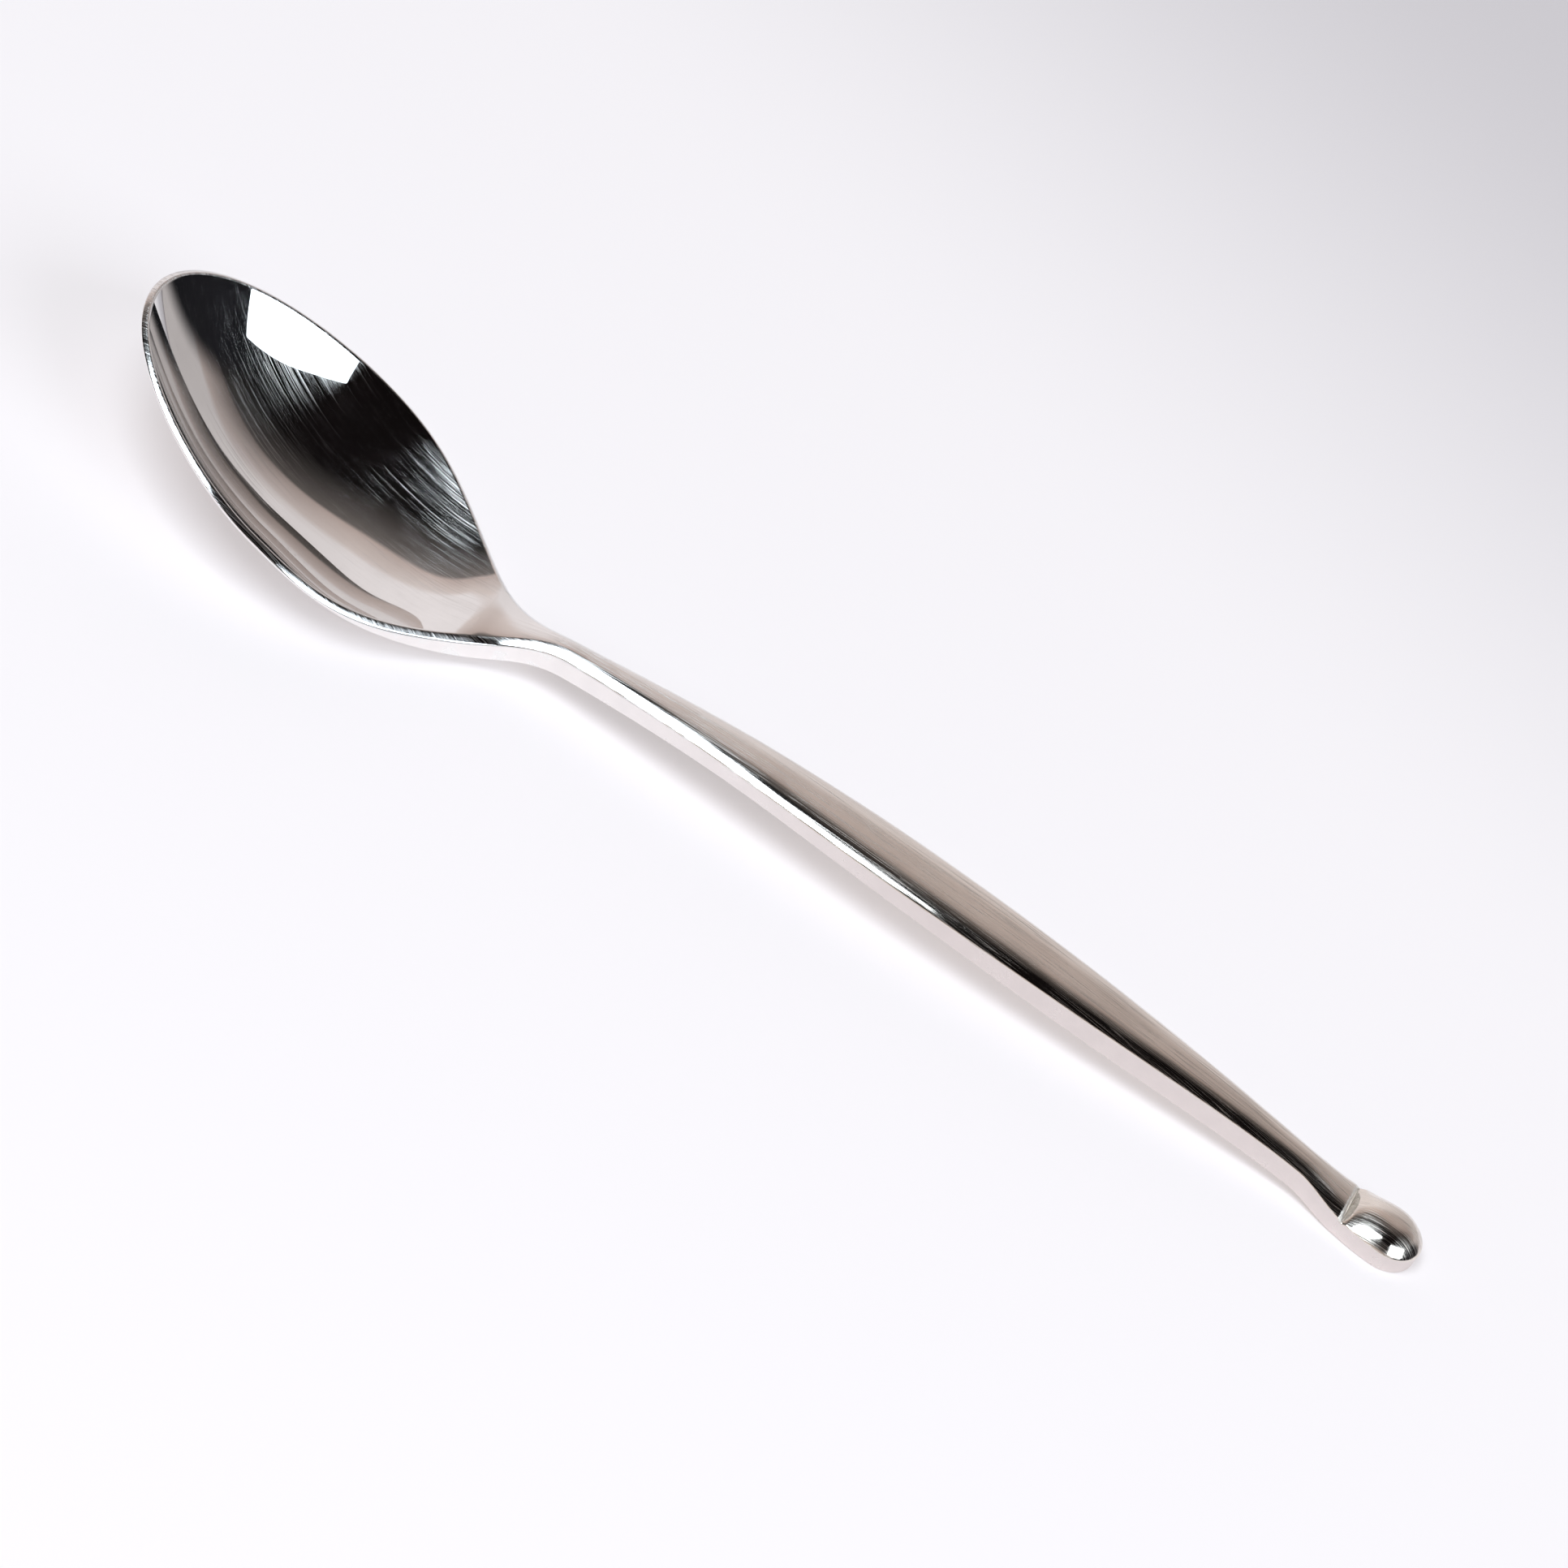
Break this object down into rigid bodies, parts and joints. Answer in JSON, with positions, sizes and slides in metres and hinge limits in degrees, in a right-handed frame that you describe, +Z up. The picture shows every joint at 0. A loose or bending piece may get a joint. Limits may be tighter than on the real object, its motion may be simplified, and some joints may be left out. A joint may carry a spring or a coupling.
{
  "type": "coffee_spoon",
  "caption": "Polished coffee spoon with an oval bowl, slim neck, crowned tapering handle and a round drop end set off by a groove.",
  "frame": {"origin": "on the surface that the spoon lies on, under the middle of its box", "axes": "+X from the tip of the bowl to the end of the drop, +Y to the left looking along +X, +Z up"},
  "size_m": [0.12, 0.0246, 0.0116],
  "materials": {
    "polished_bowl": "mirror polished, with fine use scratches along the hollow",
    "polished_steel": "polished on top, satin on the narrow sides"
  },
  "bodies": {
    "root": {"bowl": "polished_bowl", "neck": "polished_steel", "handle": "polished_steel", "drop_end": "polished_steel"}
  },
  "joints": []
}
